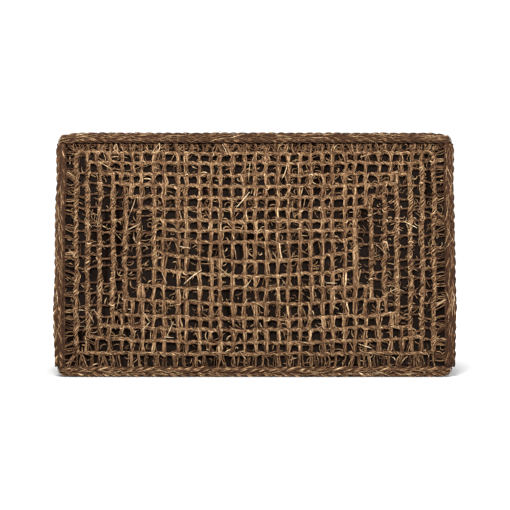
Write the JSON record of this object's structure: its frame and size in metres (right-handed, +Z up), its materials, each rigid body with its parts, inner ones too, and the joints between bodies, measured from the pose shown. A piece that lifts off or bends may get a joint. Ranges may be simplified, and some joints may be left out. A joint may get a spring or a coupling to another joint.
{
  "type": "storage trunk",
  "caption": "Rectangular storage trunk with a hinged flat lid, a timber frame with dark stained walls, and a skin of knotted fibre-rope net edged with plait.",
  "frame": {"origin": "middle of the footprint, on the surface the glides stand on", "axes": "+X along the width to the right as seen from the front, +Y to the hinged back, +Z up"},
  "size_m": [0.76, 0.46, 0.465],
  "materials": {
    "rope_fibre": "twisted dry plant fibre rope, matt, with stray fibres",
    "plait_fibre": "three-strand plait of dry plant fibre, matt",
    "stained_ply": "charcoal stained plywood, matt",
    "stained_wood": "dark stained softwood, matt",
    "aged_brass": "aged brass, satin",
    "black_plastic": "moulded black plastic"
  },
  "bodies": {
    "trunk_body": {"body_screw_left_a": "aged_brass", "body_screw_left_b": "aged_brass", "body_screw_right_a": "aged_brass", "body_screw_right_b": "aged_brass", "bottom_plait_back": "plait_fibre", "bottom_plait_front": "plait_fibre", "bottom_plait_left": "plait_fibre", "bottom_plait_right": "plait_fibre", "bottom_rail_back": "stained_wood", "bottom_rail_front": "stained_wood", "bottom_rail_left": "stained_wood", "bottom_rail_right": "stained_wood", "corner_plait_back_left": "plait_fibre", "corner_plait_back_right": "plait_fibre", "corner_plait_front_left": "plait_fibre", "corner_plait_front_right": "plait_fibre", "corner_post_back_left": "stained_wood", "corner_post_back_right": "stained_wood", "corner_post_front_left": "stained_wood", "corner_post_front_right": "stained_wood", "floor_panel": "stained_ply", "glide_back_left": "black_plastic", "glide_back_right": "black_plastic", "glide_front_left": "black_plastic", "glide_front_right": "black_plastic", "hinge_body_leaf_left": "aged_brass", "hinge_body_leaf_right": "aged_brass", "hinge_pin_left": "aged_brass", "hinge_pin_right": "aged_brass", "rope_net_back": "rope_fibre", "rope_net_front": "rope_fibre", "rope_net_left": "rope_fibre", "rope_net_right": "rope_fibre", "top_rail_back": "stained_wood", "top_rail_front": "stained_wood", "top_rail_left": "stained_wood", "top_rail_right": "stained_wood", "wall_panel_back": "stained_ply", "wall_panel_front": "stained_ply", "wall_panel_left": "stained_ply", "wall_panel_right": "stained_ply"},
    "lid": {"hinge_lid_leaf_left": "aged_brass", "hinge_lid_leaf_right": "aged_brass", "lid_batten_left": "stained_wood", "lid_batten_right": "stained_wood", "lid_board": "stained_ply", "lid_plait_back": "plait_fibre", "lid_plait_front": "plait_fibre", "lid_plait_left": "plait_fibre", "lid_plait_right": "plait_fibre", "lid_screw_left_a": "aged_brass", "lid_screw_left_b": "aged_brass", "lid_screw_right_a": "aged_brass", "lid_screw_right_b": "aged_brass", "rope_net_lid": "rope_fibre"}
  },
  "joints": [
    {"name": "lid_hinge", "type": "hinge", "parent": "trunk_body", "child": "lid", "pos_m": [0, 0.226, 0.44475], "axis": [-1, 0, 0], "range_deg": [0, 100]}
  ]
}
